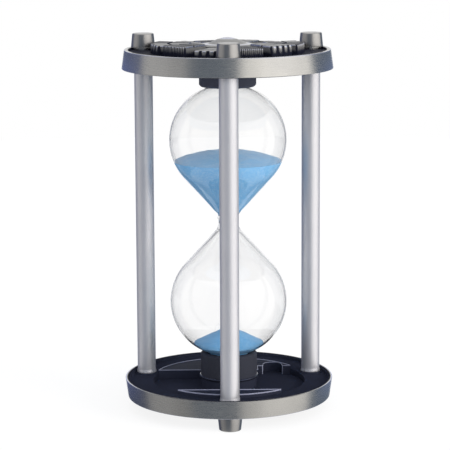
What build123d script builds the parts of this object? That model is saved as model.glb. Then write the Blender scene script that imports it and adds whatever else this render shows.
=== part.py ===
from build123d import *
import os
from math import acos, atan2, cos, degrees, hypot, radians, sin, sqrt

# A three-pillar hourglass. Millimetres, +Z up. The origin is on the table, under the middle of the object,
# and the front pillar stands towards -Y. Two equal castings close the ends, so a cap and its liner are
# modelled once, at the bottom, and turned over for the top.

# ---- frame ----
overall_height = 162.0  # from the tips of the bottom feet to the tips of the top feet
cap_radius = 45.0  # at the open edge of the tray, the lip
rim_draft = 1.1  # the rim is this much smaller in radius at its outer edge
cap_height = 8.0  # height of the rim
lip_width = 1.1
rim_wall = 1.6  # thickness of the rim where it meets the web
edge_band = 1.7  # width of the flat ring around the recessed outer face
web_recess = 1.15  # the outer face lies this deep inside the rim's outer edge
web_thickness = 1.6
lip_chamfer = 0.25

# ---- feet, pillars and tie rods ----
foot_height = 5.8
foot_seat_radius = 5.2
foot_tip_radius = 4.6
foot_tip_round = 0.5
foot_edge_margin = 0.2  # between a foot and the rim's outer edge
pillar_radius = 4.0
pillar_wall = 1.0
pillar_flare = 0.25  # the tube's ends are this much larger in radius
pillar_flare_band = 0.5  # height of the wide band at each end
pillar_flare_length = 1.6  # from an end to where the tube has its own radius
pillar_chamfer = 0.2
side_pillar_angle = 110.0  # from the front pillar to each side pillar
rod_radius = 2.0
rod_engagement = 4.0  # length of rod inside each foot
rod_chamfer = 0.4
thread_clearance = 0.05
tap_runout = 0.4  # tapped depth beyond the end of the rod
rod_hole_clearance = 0.2

# ---- relief on the outer faces: fan-shaped blocks around a stepped boss ----
relief_margin = 0.6  # between the fan blocks and the foot bosses
block_inner_radius = 16.9
block_gap_angle = 7.0
block_heights = (  # above the rim's outer edge, round from the right; low at the back, tall at the front
    *(2.3, 1.3, 1.1, 1.3, 1.1, 2.3),
    *(2.9, 3.3, 2.7, 1.9, 3.3, 2.7),
)
hub_radius = 12.5
hub_height = 2.2
dome_base_radius = 9.0
dome_height = 5.0

# ---- liner ----
liner_clearance = 0.15
liner_edge_drop = 0.3  # the liner's edge and its platform stay this far below the lip
liner_edge_width = 0.7
deck_drop = 1.8  # the deck around the platform lies this far below the lip
pillar_seat_margin = 1.2  # of the seat around the pillar
pillar_seat_height = 0.4
pillar_clearance = 0.2  # between a pillar and the liner's edge
platform_gap = 0.4  # between a pillar seat and the platform
pocket_floor = 0.8
pocket_front = 24.5  # distance from the middle to the pocket's straight front wall
pocket_back = 11.2  # to its straight back wall, on the left
pocket_back_right = 18.0  # to its back wall on the right
pocket_step = 13.0  # where the back wall steps from one to the other
bay_position = 19.6  # middle of the half-round bay in the right back wall
bay_radius = 4.1
bay_depth = 2.6  # straight length of the bay's sides
bay_corner_round = 1.0  # of the two corners where the bay meets the back wall
spigot_radius = 4.0
spigot_height = 1.2

# ---- cups and pads ----
cup_wall = 3.4  # outside the bore
cup_boss_inset = 0.2
cup_floor = 1.6
lower_mouth_gap = 0.27  # between the cup's mouth and the bulb, along the axis
upper_mouth_gap = 0.97
cup_clearance = 0.4
cup_mouth_chamfer = 1.2
cup_edge_chamfer = 0.8
cup_bead_radius = 0.6
spigot_clearance = 0.1
lower_pad_thickness = 3.9
upper_pad_thickness = 1.5
pad_clearance = 0.2

# ---- glass and sand ----
bulb_radius = 25.2
dome_arc_radius = 23.5  # arc of the bulb's side towards its cup
neck_length = 10.9  # the arc of the bulb's side towards the waist would end this far from the waist
waist_radius = 4.15
waist_round = 7.0
glass_wall = 0.8
orifice_radius = 1.0
orifice_round = 4.0
collar_radius = 8.4
collar_length = 5.5
closed_end_thickness = 1.2
plug_length = 4.0
plug_clearance = 0.05
sand_gap = 0.1  # the sand solids stay this far inside the glass
upper_sand_depth = 9.0  # where the sand meets the glass, below the upper bulb's widest ring
upper_sand_mound = 4.4
lower_sand_depth = 18.7  # below the lower bulb's widest ring
lower_sand_heap = 7.4
stream_radius = 0.6

# ---- levels and places that follow ----
lip_level = foot_height + cap_height
web_inner = foot_height + web_recess + web_thickness
deck_level = lip_level - deck_drop
platform_level = lip_level - liner_edge_drop
pillar_foot = deck_level + pillar_seat_height
pocket_level = web_inner + pocket_floor
edge_radius = cap_radius - rim_draft
pillar_circle = edge_radius - foot_edge_margin - foot_seat_radius
pillar_seat_radius = pillar_radius + pillar_seat_margin
platform_radius = pillar_circle - pillar_seat_radius - platform_gap
relief_radius = pillar_circle - pillar_seat_radius - relief_margin
pillar_angles = {
    "front": -90.0,
    "left": -90.0 - side_pillar_angle,
    "right": -90.0 + side_pillar_angle,
}
rod_hole_radius = rod_radius + rod_hole_clearance
cup_bore = collar_radius + cup_clearance
cup_radius = cup_bore + cup_wall
lower_pad_base = platform_level + cup_floor
upper_pad_base = overall_height - platform_level - cup_floor
glass_bottom = lower_pad_base + lower_pad_thickness
glass_top = upper_pad_base - upper_pad_thickness
glass_centre = (glass_bottom + glass_top) / 2
glass_reach = (glass_top - glass_bottom) / 2
collar_offset = collar_radius - (bulb_radius - dome_arc_radius)
bulb_reach = glass_reach - collar_length - sqrt(dome_arc_radius**2 - collar_offset**2)
shoulder_radius = bulb_reach - neck_length
upper_sand_level = bulb_reach - upper_sand_depth
lower_sand_level = bulb_reach + lower_sand_depth
mouth_offset = cup_bore + cup_mouth_chamfer - (bulb_radius - dome_arc_radius)
mouth_reach = bulb_reach + sqrt(dome_arc_radius**2 - mouth_offset**2)
lower_cup_height = glass_centre - mouth_reach - lower_mouth_gap - platform_level
upper_cup_height = overall_height - platform_level - upper_mouth_gap - glass_centre - mouth_reach


def turned(edges):
    """Solid of revolution about Z, from a closed outline drawn as (radius, height)."""
    return revolve(Plane.XZ * make_face(edges), Axis.Z)


def at_pillar(name, height=0.0):
    """Place on a pillar's axis, at a height."""
    angle = radians(pillar_angles[name])
    return Pos(pillar_circle * cos(angle), pillar_circle * sin(angle), height)


def disc(radius, bottom, top):
    """Upright cylinder between two heights."""
    return Pos(0, 0, bottom) * Cylinder(radius, top - bottom, align=(Align.CENTER, Align.CENTER, Align.MIN))


def turned_over(solid):
    """The same piece at the other end of the hourglass, rolled over about the Y axis."""
    return Pos(0, 0, overall_height) * (Rot(0, 180, 0) * solid)


def sector(inner, outer, start, sweep):
    """Fan-shaped face between two radii."""
    outer_arc = CenterArc((0, 0), outer, start, sweep)
    inner_arc = CenterArc((0, 0), inner, start, sweep)
    sides = [Line(outer_arc @ 0, inner_arc @ 0), Line(outer_arc @ 1, inner_arc @ 1)]
    return make_face([outer_arc, inner_arc, *sides])


def make_relief():
    """Fan blocks of several heights around a stepped boss with a low dome, standing on the recessed face."""
    ground = foot_height + web_recess
    pitch = 360.0 / len(block_heights)
    blocks = []
    for index, height in enumerate(block_heights):
        start = index * pitch + block_gap_angle / 2
        face = sector(block_inner_radius, relief_radius, start, pitch - block_gap_angle)
        blocks.append(extrude(Pos(0, 0, foot_height - height) * face, height + web_recess))
    hub = disc(hub_radius, foot_height - hub_height, ground)
    hub_face = foot_height - hub_height
    dome_rise = dome_height - hub_height
    dome = turned(
        [
            ThreePointArc(
                (0, hub_face - dome_rise),
                (dome_base_radius * 0.6, hub_face - dome_rise * 0.6),
                (dome_base_radius, hub_face),
            ),
            Polyline((dome_base_radius, hub_face), (0, hub_face), (0, hub_face - dome_rise)),
        ]
    )
    return [*blocks, hub, dome]


def make_cap():
    """Bottom casting: rim, recessed web, foot bosses and relief, with the rod holes."""
    inner_radius = edge_radius - rim_wall
    rim = turned(
        Polyline(
            (0, foot_height + web_recess),
            (edge_radius - edge_band, foot_height + web_recess),
            (edge_radius - edge_band, foot_height),
            (edge_radius, foot_height),
            (cap_radius, lip_level - lip_chamfer),
            (cap_radius - lip_chamfer, lip_level),
            (cap_radius - lip_width, lip_level),
            (inner_radius, web_inner),
            (0, web_inner),
            close=True,
        )
    )
    cap = rim
    for piece in make_relief():
        cap += piece
    for name in pillar_angles:
        cap += at_pillar(name) * disc(foot_seat_radius, foot_height, web_inner)
    for name in pillar_angles:
        cap -= at_pillar(name) * disc(rod_hole_radius, foot_height - 1, web_inner + 1)
    return cap


def pocket_outline():
    """Plan of the pocket in the platform: straight at the front and left, stepped with a bay at the right."""
    left = Pos(-platform_radius, -pocket_front) * Rectangle(
        platform_radius + pocket_step, pocket_front + pocket_back, align=(Align.MIN, Align.MIN)
    )
    right = Pos(pocket_step, -pocket_front) * Rectangle(
        platform_radius - pocket_step, pocket_front + pocket_back_right, align=(Align.MIN, Align.MIN)
    )
    bay = Pos(bay_position, pocket_back_right) * Rectangle(
        2 * bay_radius, bay_depth, align=(Align.CENTER, Align.MIN)
    ) + Pos(bay_position, pocket_back_right + bay_depth) * Circle(bay_radius)
    outline = (left + right + bay) & Circle(platform_radius)
    corners = outline.vertices().filter_by(
        lambda corner: abs(corner.Y - pocket_back_right) < 0.01
        and abs(abs(corner.X - bay_position) - bay_radius) < 0.01
    )
    return fillet(corners, bay_corner_round)


def make_liner():
    """Bottom liner: a moulded disc with an edge, a platform with a pocket, a cup boss and pillar seats."""
    foot_radius = edge_radius - rim_wall - liner_clearance
    mouth_radius = cap_radius - lip_width - liner_clearance
    trough = disc(mouth_radius - liner_edge_width, deck_level, lip_level)
    trough -= disc(platform_radius, deck_level, lip_level)
    for name in pillar_angles:
        trough -= at_pillar(name) * disc(pillar_seat_radius, deck_level, pillar_foot)
    body = turned(
        Polyline(
            (0, web_inner),
            (foot_radius, web_inner),
            (mouth_radius, platform_level),
            (0, platform_level),
            close=True,
        )
    )
    liner = body - trough
    liner -= Pos(0, 0, pocket_level) * extrude(pocket_outline(), cap_height)
    liner += disc(cup_radius - cup_boss_inset, pocket_level, platform_level)
    liner += disc(spigot_radius, platform_level, platform_level + spigot_height)
    for name in pillar_angles:
        liner -= at_pillar(name) * disc(rod_hole_radius, web_inner - 1, lip_level)
        liner -= at_pillar(name) * disc(pillar_radius + pillar_flare + pillar_clearance, pillar_foot, lip_level)
    return liner


def make_pillar(name):
    """Tube between the seats of the two liners, flared a little at both ends."""
    length = overall_height - 2 * pillar_foot
    bore = pillar_radius - pillar_wall
    flare_radius = pillar_radius + pillar_flare
    foot = [
        (bore, 0),
        (flare_radius - pillar_chamfer, 0),
        (flare_radius, pillar_chamfer),
        (flare_radius, pillar_flare_band),
        (pillar_radius, pillar_flare_length),
    ]
    head = [(radius, length - height) for radius, height in reversed(foot)]
    return at_pillar(name, pillar_foot) * turned(Polyline(*foot, *head, close=True))


def make_tie_rod(name):
    """Threaded rod through the tube, with its ends in the two feet."""
    bottom = foot_height - rod_engagement
    length = overall_height - 2 * bottom
    rod = disc(rod_radius, 0, length)
    rod = chamfer(rod.edges().filter_by(GeomType.CIRCLE), rod_chamfer)
    return at_pillar(name, bottom) * rod


def make_foot(name):
    """Tapered cap nut with a blind tapped hole, seated on the cap's boss."""
    body = turned(
        Polyline(
            (0, 0),
            (foot_tip_radius, 0),
            (foot_seat_radius, foot_height),
            (0, foot_height),
            close=True,
        )
    )
    body = fillet(body.edges().group_by(Axis.Z)[0], foot_tip_round)
    hole_bottom = foot_height - rod_engagement - tap_runout
    return at_pillar(name) * (body - disc(rod_radius + thread_clearance, hole_bottom, foot_height + 1))


def make_cup(height):
    """Cup standing on the platform level: bore, sloping mouth, bead at the foot and a hole for the spigot."""
    bottom = platform_level
    top = bottom + height
    bead_centre = bottom + cup_bead_radius
    cup = turned(
        [
            Polyline(
                (spigot_radius + spigot_clearance, bottom),
                (cup_radius, bottom),
            ),
            ThreePointArc(
                (cup_radius, bottom),
                (cup_radius + cup_bead_radius, bead_centre),
                (cup_radius, bottom + 2 * cup_bead_radius),
            ),
            Polyline(
                (cup_radius, bottom + 2 * cup_bead_radius),
                (cup_radius, top - cup_edge_chamfer),
                (cup_radius - cup_edge_chamfer, top),
                (cup_bore + cup_mouth_chamfer, top),
                (cup_bore, top - cup_mouth_chamfer),
                (cup_bore, bottom + cup_floor),
                (spigot_radius + spigot_clearance, bottom + cup_floor),
                (spigot_radius + spigot_clearance, bottom),
            ),
        ]
    )
    return cup


def bulb_half(inset, waist, waist_arc, end_reach):
    """One half of a bulb outline, from the waist to an end, as (radius, distance from the waist).

    A waist arc, a straight throat, an arc to the widest ring and one from it to the collar, all tangent.
    """
    shoulder = shoulder_radius - inset
    dome = dome_arc_radius - inset
    collar = collar_radius - inset
    shoulder_centre = (bulb_radius - shoulder_radius, bulb_reach)
    dome_centre = (bulb_radius - dome_arc_radius, bulb_reach)
    waist_centre = (waist + waist_arc, 0)
    across = shoulder_centre[0] - waist_centre[0]
    along = shoulder_centre[1] - waist_centre[1]
    throat_angle = degrees(atan2(along, across) + acos((shoulder + waist_arc) / hypot(across, along)))
    waist_edge = CenterArc(waist_centre, waist_arc, 180, throat_angle - 180)
    shoulder_edge = CenterArc(shoulder_centre, shoulder, throat_angle - 180, 180 - throat_angle)
    dome_sweep = degrees(acos((collar - dome_centre[0]) / dome))
    dome_edge = CenterArc(dome_centre, dome, 0, dome_sweep)
    throat = Line(waist_edge @ 1, shoulder_edge @ 0)
    collar_edge = Line(dome_edge @ 1, (collar, end_reach))
    return [waist_edge, throat, shoulder_edge, dome_edge, collar_edge]


def bulb_outline(inset, waist, waist_arc, lower_reach, upper_reach):
    """Whole bulb outline from its lower end to its upper end."""
    upper = bulb_half(inset, waist, waist_arc, upper_reach)
    lower = [mirror(edge, about=Plane.XZ) for edge in bulb_half(inset, waist, waist_arc, lower_reach)]
    return [*upper, *lower]


def make_glass():
    """Blown double bulb, closed at its lower end and open for filling at its upper end."""
    floor_reach = glass_reach - closed_end_thickness
    bore = collar_radius - glass_wall
    outside = bulb_outline(0, waist_radius, waist_round, glass_reach, glass_reach)
    inside = bulb_outline(glass_wall, orifice_radius, orifice_round, floor_reach, glass_reach)
    mouth = Line((collar_radius, glass_reach), (bore, glass_reach))
    closed_end = Polyline(
        (bore, -floor_reach),
        (0, -floor_reach),
        (0, -glass_reach),
        (collar_radius, -glass_reach),
    )
    return Pos(0, 0, glass_centre) * turned([*outside, mouth, *inside, closed_end])


def make_fill_plug():
    """Rubber stopper in the open upper end, flush with it."""
    return disc(collar_radius - glass_wall - plug_clearance, glass_top - plug_length, glass_top)


def sand_space():
    """Room for the sand: the inside of the glass less a small gap."""
    inset = glass_wall + sand_gap
    bore = collar_radius - inset
    floor_reach = glass_reach - closed_end_thickness - sand_gap
    side = bulb_outline(inset, orifice_radius - sand_gap, orifice_round + sand_gap, floor_reach, glass_reach)
    axis = Polyline((bore, glass_reach), (0, glass_reach), (0, -floor_reach), (bore, -floor_reach))
    return Pos(0, 0, glass_centre) * turned([*side, axis])


def inside_radius(arc_radius, from_widest):
    """Radius inside the glass on one of a bulb's arcs, at a distance from its widest ring."""
    inside = arc_radius - glass_wall
    return bulb_radius - arc_radius + sqrt(inside**2 - from_widest**2)


def make_upper_sand():
    """Sand above the waist, with a low mound on top."""
    level = glass_centre + upper_sand_level
    rim = inside_radius(shoulder_radius, bulb_reach - upper_sand_level)
    mound_radius = (rim**2 + upper_sand_mound**2) / (2 * upper_sand_mound)
    mound = Pos(0, 0, level + upper_sand_mound - mound_radius) * Sphere(mound_radius)
    return sand_space() & disc(bulb_radius, glass_centre, level + upper_sand_mound) & mound


def make_lower_sand():
    """Heap below the waist: a cone on the sand that fills the end of the glass."""
    level = glass_centre - lower_sand_level
    rim = inside_radius(dome_arc_radius, lower_sand_level - bulb_reach)
    slope = lower_sand_heap / (rim - stream_radius)
    heap = turned(
        Polyline(
            (0, glass_bottom),
            (bulb_radius, glass_bottom),
            (bulb_radius, level - slope * (bulb_radius - rim)),
            (stream_radius, level + lower_sand_heap),
            (0, level + lower_sand_heap),
            close=True,
        )
    )
    return sand_space() & heap


def make_stream():
    """Thread of falling sand from the waist to the top of the heap."""
    return disc(stream_radius, glass_centre - lower_sand_level + lower_sand_heap, glass_centre)


cap = make_cap()
liner = make_liner()
nodes = {
    "bottom_cap": cap,
    "top_cap": turned_over(cap),
    "bottom_liner": liner,
    "top_liner": turned_over(liner),
    "lower_cup": make_cup(lower_cup_height),
    "upper_cup": turned_over(make_cup(upper_cup_height)),
    "lower_pad": disc(cup_bore - pad_clearance, lower_pad_base, glass_bottom),
    "upper_pad": disc(cup_bore - pad_clearance, glass_top, upper_pad_base),
    "glass_bulb": make_glass(),
    "fill_plug": make_fill_plug(),
    "upper_sand": make_upper_sand(),
    "sand_stream": make_stream(),
    "lower_sand": make_lower_sand(),
}
other_side = {"front": "front", "left": "right", "right": "left"}
for name in pillar_angles:
    nodes[f"{name}_pillar"] = make_pillar(name)
    nodes[f"{name}_tie_rod"] = make_tie_rod(name)
    nodes[f"bottom_{name}_foot"] = make_foot(name)
    nodes[f"top_{name}_foot"] = turned_over(make_foot(other_side[name]))

os.makedirs("parts", exist_ok=True)
for node, solid in nodes.items():
    export_step(solid, f"parts/{node}.step")
    print(node, round(solid.volume, 1))
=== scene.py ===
"""Looks of a three-pillar hourglass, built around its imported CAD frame.

Sizes are in millimetres unless a name says otherwise; meshes are written in metres, in the CAD frame:
+Z up, the front pillar towards -Y, the origin on the table under the middle of the object.
"""
import logging
import math
from collections.abc import Callable, Iterable
from dataclasses import dataclass, field
from enum import Enum, IntEnum

import bmesh
import bpy
from mathutils import Matrix, Vector, noise


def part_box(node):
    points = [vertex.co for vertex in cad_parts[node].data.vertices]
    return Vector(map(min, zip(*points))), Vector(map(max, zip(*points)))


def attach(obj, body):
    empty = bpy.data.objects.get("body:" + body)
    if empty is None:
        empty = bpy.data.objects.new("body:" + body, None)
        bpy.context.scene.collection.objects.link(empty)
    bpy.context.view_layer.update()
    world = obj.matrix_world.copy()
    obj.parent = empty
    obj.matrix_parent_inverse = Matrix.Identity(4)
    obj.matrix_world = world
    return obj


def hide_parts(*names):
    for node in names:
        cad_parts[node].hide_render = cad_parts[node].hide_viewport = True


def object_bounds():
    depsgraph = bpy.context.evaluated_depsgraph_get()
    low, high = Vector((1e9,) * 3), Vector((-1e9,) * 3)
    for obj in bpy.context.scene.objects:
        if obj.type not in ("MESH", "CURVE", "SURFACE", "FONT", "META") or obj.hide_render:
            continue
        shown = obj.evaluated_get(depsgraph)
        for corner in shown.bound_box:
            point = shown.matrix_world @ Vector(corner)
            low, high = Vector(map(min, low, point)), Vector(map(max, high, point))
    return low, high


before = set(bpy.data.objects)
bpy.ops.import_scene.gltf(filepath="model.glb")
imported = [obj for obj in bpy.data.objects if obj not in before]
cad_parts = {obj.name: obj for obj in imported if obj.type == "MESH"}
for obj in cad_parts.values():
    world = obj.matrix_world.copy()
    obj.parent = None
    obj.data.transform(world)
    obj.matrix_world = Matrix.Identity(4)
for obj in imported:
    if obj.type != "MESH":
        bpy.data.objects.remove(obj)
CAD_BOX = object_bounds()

MM = 0.001
BODY = "root"
LOG = logging.getLogger("hourglass")

Point = tuple[float, float]
Place = tuple[float, float, float]


# ---------------------------------------------------------------- colours and nodes

SHARE, FIRST, SECOND = 0, 6, 7  # inputs of a colour mix
NOISE_SPAN = {"From Min": 0.3, "From Max": 0.7}  # where nearly all values of a noise lie


def linear(code: str) -> tuple[float, float, float, float]:
    """Turn an sRGB hex colour into linear red, green, blue and an alpha of 1.

    Args:
        code: Six hex digits after a hash sign.

    Returns:
        Four numbers that a colour socket takes.
    """
    channels = [int(code[i : i + 2], 16) / 255 for i in (1, 3, 5)]
    red, green, blue = [c / 12.92 if c <= 0.04045 else ((c + 0.055) / 1.055) ** 2.4 for c in channels]
    return (red, green, blue, 1.0)


def per_metre(size_mm: float) -> float:
    """Texture scale at which one cell of a pattern is this many millimetres wide."""
    return 1.0 / (size_mm * MM)


def empty_tree(owner: bpy.types.Material | bpy.types.World) -> bpy.types.NodeTree:
    """Switch a new material or world to nodes and clear them.

    Args:
        owner: The material or world.

    Returns:
        Its node tree.
    """
    owner.use_nodes = True
    owner.node_tree.nodes.clear()
    return owner.node_tree


def add_node(
    tree: bpy.types.NodeTree,
    kind: str,
    inputs: dict[str | int, object] | None = None,
    **settings: object,
) -> bpy.types.Node:
    """Add a node with its settings, values and links.

    Args:
        tree: Node tree to add to.
        kind: Blender's name of the node type, without "ShaderNode".
        inputs: Value, source socket or source node for each input, by name or index. A node stands for its
            first output in use.
        settings: Properties of the node.

    Returns:
        The new node.
    """
    node = tree.nodes.new(f"ShaderNode{kind}")
    for name, value in settings.items():
        setattr(node, name, value)
    for key, value in (inputs or {}).items():
        if isinstance(value, bpy.types.Node):
            value = next(socket for socket in value.outputs if socket.enabled)
        if isinstance(value, bpy.types.NodeSocket):
            tree.links.new(value, node.inputs[key])
        else:
            node.inputs[key].default_value = value
    return node


def add_object(name: str, data: bpy.types.ID) -> bpy.types.Object:
    """Put a mesh, lamp or camera into the scene.

    Args:
        name: Name of the object.
        data: What the object holds.

    Returns:
        The new object.
    """
    made = bpy.data.objects.new(name, data)
    bpy.context.scene.collection.objects.link(made)
    return made


# ---------------------------------------------------------------- outlines and meshes


def rounded(corners: Iterable[Place], closed: bool = True, step_degrees: float = 15.0) -> list[Point]:
    """Replace each corner of an outline by an arc of that corner's radius.

    Args:
        corners: (x, y, radius) of each corner, in order.
        closed: Whether the last corner joins the first.
        step_degrees: Angle between two points of an arc.

    Returns:
        The points of the outline.
    """
    side_share = 0.48  # most of a side that one arc may take up
    sharpest, straightest = 0.02, math.pi / 2 - 0.01  # half angles beyond which a corner stays as it is
    items = list(corners)
    count = len(items)
    points: list[Point] = []
    for index, (x, y, radius) in enumerate(items):
        if radius <= 0 or (not closed and index in (0, count - 1)):
            points.append((x, y))
            continue
        here = Vector((x, y))
        before = Vector(items[index - 1][:2]) - here
        after = Vector(items[(index + 1) % count][:2]) - here
        room = side_share * min(before.length, after.length)
        before.normalize()
        after.normalize()
        half = math.acos(max(-1.0, min(1.0, before.dot(after)))) / 2
        if half < sharpest or half > straightest:
            points.append((x, y))
            continue
        reach = min(radius / math.tan(half), room)
        real_radius = reach * math.tan(half)
        centre = here + (before + after).normalized() * (real_radius / math.sin(half))
        start, end = here + before * reach - centre, here + after * reach - centre
        turn = math.atan2(start.x * end.y - start.y * end.x, start.dot(end))
        steps = max(2, math.ceil(abs(math.degrees(turn)) / step_degrees))
        for step in range(steps + 1):
            angle = turn * step / steps
            c, s = math.cos(angle), math.sin(angle)
            points.append((centre.x + start.x * c - start.y * s, centre.y + start.x * s + start.y * c))
    return points


def arc(centre: Point, radius: float, start: float, end: float, step_degrees: float = 1.5) -> list[Point]:
    """Points of an arc, both ends included.

    Args:
        centre: Centre of the arc.
        radius: Radius of the arc.
        start: Angle of the first point, in degrees.
        end: Angle of the last point, in degrees.
        step_degrees: Widest angle between two points.

    Returns:
        The points in order.
    """
    steps = max(2, math.ceil(abs(end - start) / step_degrees))
    turns = [math.radians(start + (end - start) * i / steps) for i in range(steps + 1)]
    return [(centre[0] + radius * math.cos(t), centre[1] + radius * math.sin(t)) for t in turns]


@dataclass
class Shell:
    """Vertices and faces of a piece, in millimetres, before it becomes a Blender mesh.

    Patina goes from -1, a painted highlight, to 1, dark; on the caps' lip and mouth the dark is painted
    shade. Points past the end of its list have none.
    """

    points: list[Place] = field(default_factory=list)
    faces: list[tuple[int, ...]] = field(default_factory=list)
    slots: list[int] = field(default_factory=list)
    patina: list[float] = field(default_factory=list)

    def add_points(self, points: list[Place]) -> list[int]:
        """Add points and return their numbers."""
        self.points += points
        return list(range(len(self.points) - len(points), len(self.points)))

    def add_ring(self, radius: float, height: float, segments: int, centre: Point = (0.0, 0.0)) -> list[int]:
        """Add a level ring of points, or a single point where the radius is 0.

        Args:
            radius: Radius of the ring.
            height: Height of the ring.
            segments: Number of points.
            centre: Centre of the ring in plan.

        Returns:
            Numbers of the points.
        """
        x, y = centre
        if radius < 1e-6:
            return self.add_points([(x, y, height)])
        turns = [2 * math.pi * step / segments for step in range(segments)]
        return self.add_points([(x + radius * math.cos(t), y + radius * math.sin(t), height) for t in turns])

    def join_rings(self, lower: list[int], upper: list[int], slot: int = 0) -> None:
        """Fill the strip between two rings, either of which may be a single point.

        Args:
            lower: Numbers of the first ring's points.
            upper: Numbers of the second ring's points.
            slot: Material slot of the strip.
        """
        count = max(len(lower), len(upper))
        for step in range(count):
            after = (step + 1) % count
            if len(lower) == 1:
                face = (lower[0], upper[after], upper[step])
            elif len(upper) == 1:
                face = (lower[step], lower[after], upper[0])
            else:
                face = (lower[step], lower[after], upper[after], upper[step])
            self.faces.append(face)
            self.slots.append(slot)

    def add_turned(
        self,
        outline: list[Point],
        closed: bool = True,
        segments: int = 128,
        centre: Point = (0.0, 0.0),
        slot_of: Callable[[Point, Point], int] | None = None,
    ) -> None:
        """Add a solid of revolution about an upright axis.

        Args:
            outline: (radius, height) points, anticlockwise with the solid on their left.
            closed: True for a loop clear of the axis, False if both ends are on it.
            segments: Number of steps round the axis.
            centre: Place of the axis.
            slot_of: Gives the material slot of the strip between two outline points.
        """
        rings = [self.add_ring(radius, height, segments, centre) for radius, height in outline]
        for index in range(len(outline) if closed else len(outline) - 1):
            after = (index + 1) % len(outline)
            slot = slot_of(outline[index], outline[after]) if slot_of else 0
            self.join_rings(rings[index], rings[after], slot)

    def add_mesh(self, mesh: bpy.types.Mesh, slot_of: Callable[[bpy.types.MeshPolygon], int]) -> None:
        """Add the faces of a Blender mesh.

        Args:
            mesh: Mesh with millimetre coordinates.
            slot_of: Gives the material slot of a face.
        """
        numbers = self.add_points([tuple(vertex.co) for vertex in mesh.vertices])
        for polygon in mesh.polygons:
            self.faces.append(tuple(numbers[i] for i in polygon.vertices))
            self.slots.append(slot_of(polygon))

    def turned_over(self, height: float) -> "Shell":
        """The same shell at the other end of this height, rolled over about the Y axis."""
        points = [(-x, y, height - z) for x, y, z in self.points]
        return Shell(points, list(self.faces), list(self.slots), list(self.patina))

    def to_object(
        self, name: str, materials: list[bpy.types.Material], crease: float = 32.0
    ) -> bpy.types.Object:
        """Make the Blender object, in metres, shaded smooth up to a crease angle.

        Args:
            name: Name of the piece.
            materials: Material of each slot.
            crease: Edges that turn by more degrees than this stay sharp.

        Returns:
            The new object, in the scene.
        """
        mesh = bpy.data.meshes.new(name)
        mesh.from_pydata([(x * MM, y * MM, z * MM) for x, y, z in self.points], [], self.faces)
        for material in materials:
            mesh.materials.append(material)
        mesh.polygons.foreach_set("material_index", self.slots)
        if self.patina:
            bare = [0.0] * (len(self.points) - len(self.patina))
            mesh.attributes.new("patina", "FLOAT", "POINT").data.foreach_set("value", self.patina + bare)
        mesh.validate()
        mesh.update()
        mesh.shade_smooth()
        mesh.set_sharp_from_angle(angle=math.radians(crease))
        return add_object(name, mesh)


def plate(outline: list[Point], bottom: float, top: float, bevel: float) -> bpy.types.Mesh:
    """Flat plate with rounded edges.

    Args:
        outline: Closed outline of the plate in plan.
        bottom: Height of the underside.
        top: Height of the upper side.
        bevel: Size of the rounded edge.

    Returns:
        A mesh with millimetre coordinates.
    """
    curve = bpy.data.curves.new("plate_outline", "CURVE")
    curve.dimensions = "2D"
    curve.fill_mode = "BOTH"
    spline = curve.splines.new("POLY")
    spline.points.add(len(outline) - 1)
    for point, (x, y) in zip(spline.points, outline):
        point.co = (x, y, 0.0, 1.0)
    spline.use_cyclic_u = True
    curve.extrude = (top - bottom) / 2 - bevel
    curve.bevel_depth = bevel
    curve.bevel_resolution = 2
    curve.offset = -bevel
    holder = bpy.data.objects.new("plate_outline", curve)
    mesh = bpy.data.meshes.new_from_object(holder)
    bpy.data.objects.remove(holder)
    bpy.data.curves.remove(curve)
    for vertex in mesh.vertices:
        vertex.co.z += (top + bottom) / 2
    solid = bmesh.new()
    solid.from_mesh(mesh)
    bmesh.ops.remove_doubles(solid, verts=solid.verts, dist=0.001)
    bmesh.ops.recalc_face_normals(solid, faces=solid.faces)
    solid.to_mesh(mesh)
    solid.free()
    return mesh


# ---------------------------------------------------------------- finishes


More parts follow.
